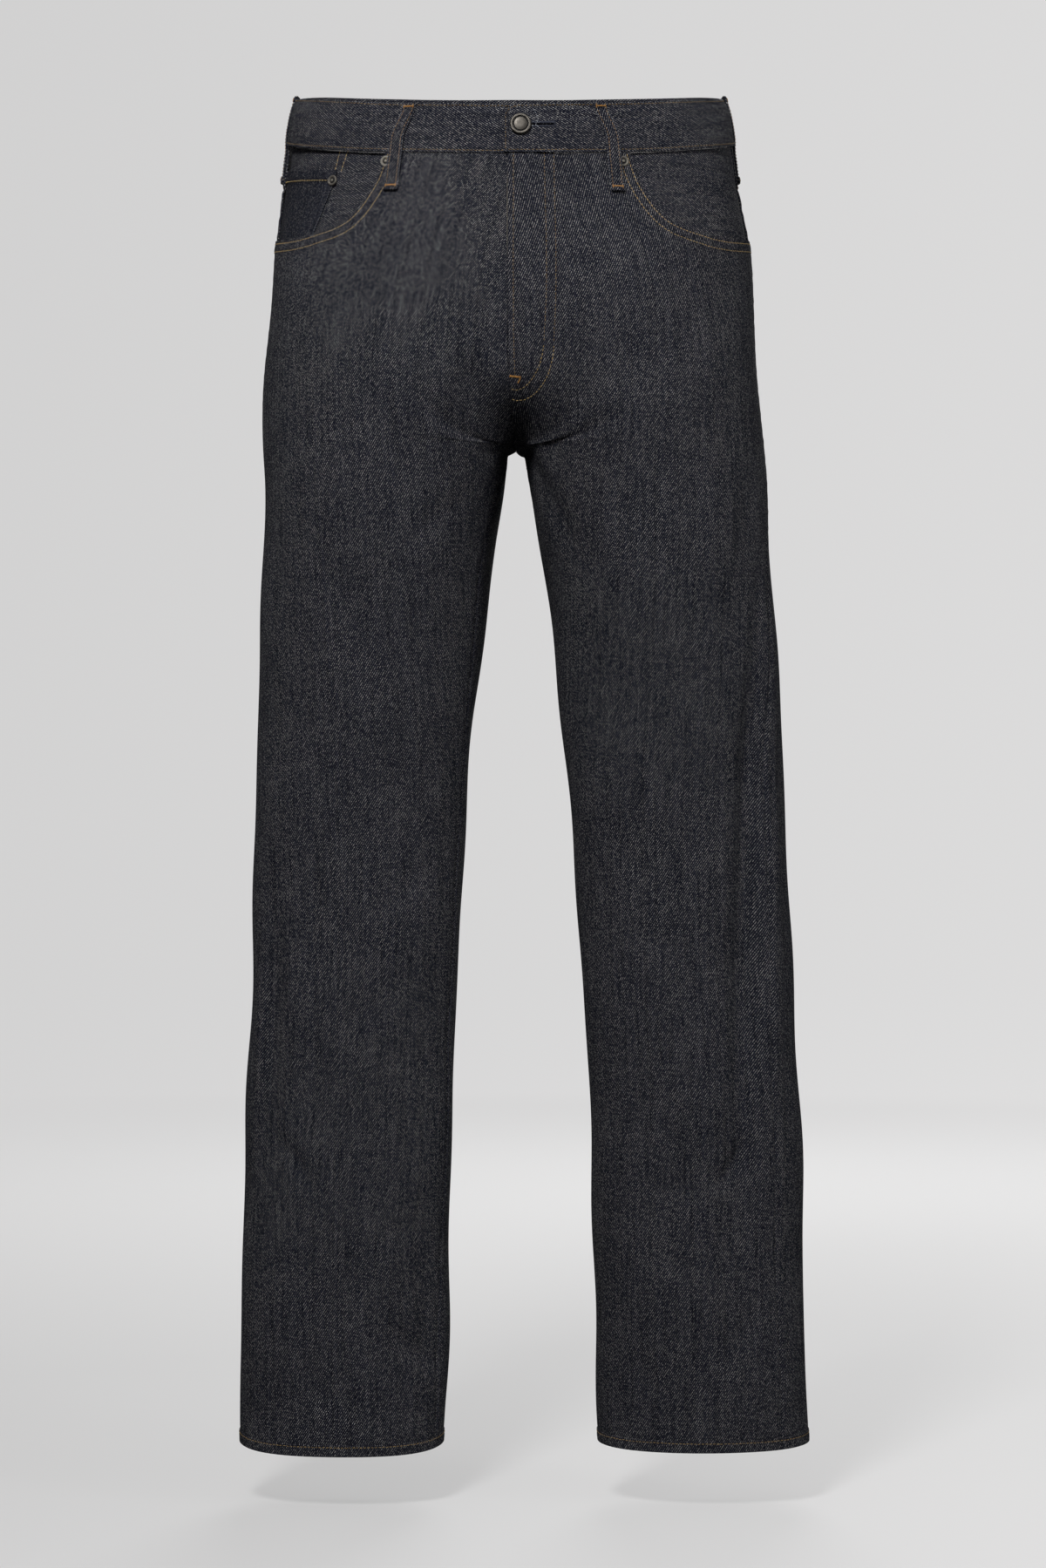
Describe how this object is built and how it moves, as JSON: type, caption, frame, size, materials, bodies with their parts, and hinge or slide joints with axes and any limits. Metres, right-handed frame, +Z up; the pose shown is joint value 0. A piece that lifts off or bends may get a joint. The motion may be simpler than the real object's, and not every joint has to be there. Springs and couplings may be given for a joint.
{
  "type": "straight leg jeans",
  "caption": "Raw dark indigo straight leg jeans with five pockets, a zip fly and tan stitching, filled out as when worn, hollow and open at the waist and both hems.",
  "frame": {"origin": "centre of the waistband's ring, halfway up the band at the sides, where the wearer holds the jeans up", "axes": "+Z up along the legs towards the waist, -Y out of the front, +X towards the wearer's left"},
  "size_m": [0.4627, 0.2517, 1.1057],
  "materials": {
    "denim": "raw dark indigo right-hand twill, dry, with grey specks of the white weft",
    "band_denim": "the same twill with its lines leaning the other way",
    "coin_denim": "the same twill in shade",
    "pocketing": "unbleached plain cotton",
    "zip": "dark tape with brass teeth",
    "thread_tan": "matt tan sewing thread",
    "thread_navy": "matt navy sewing thread",
    "thread_white": "pale loose thread ends",
    "nickel": "antique nickel with darker grooves"
  },
  "bodies": {
    "root": {"front_left": "denim", "front_right": "denim", "back_left": "denim", "back_right": "denim", "yoke_left": "denim", "yoke_right": "denim", "hem_left": "denim", "hem_right": "denim", "belt_loop_front_left": "denim", "belt_loop_front_right": "denim", "belt_loop_side_left": "denim", "belt_loop_side_right": "denim", "belt_loop_back": "denim", "pocket_facing_left": "denim", "pocket_facing_right": "denim", "back_pocket_left": "denim", "back_pocket_right": "denim", "fly_shield": "denim", "waistband": "band_denim", "coin_pocket": "coin_denim", "pocket_bag_left": "pocketing", "pocket_bag_right": "pocketing", "fly_zip": "zip", "waist_button": "nickel", "rivet_mouth_left": "nickel", "rivet_mouth_right": "nickel", "rivet_coin": "nickel"}
  },
  "joints": []
}
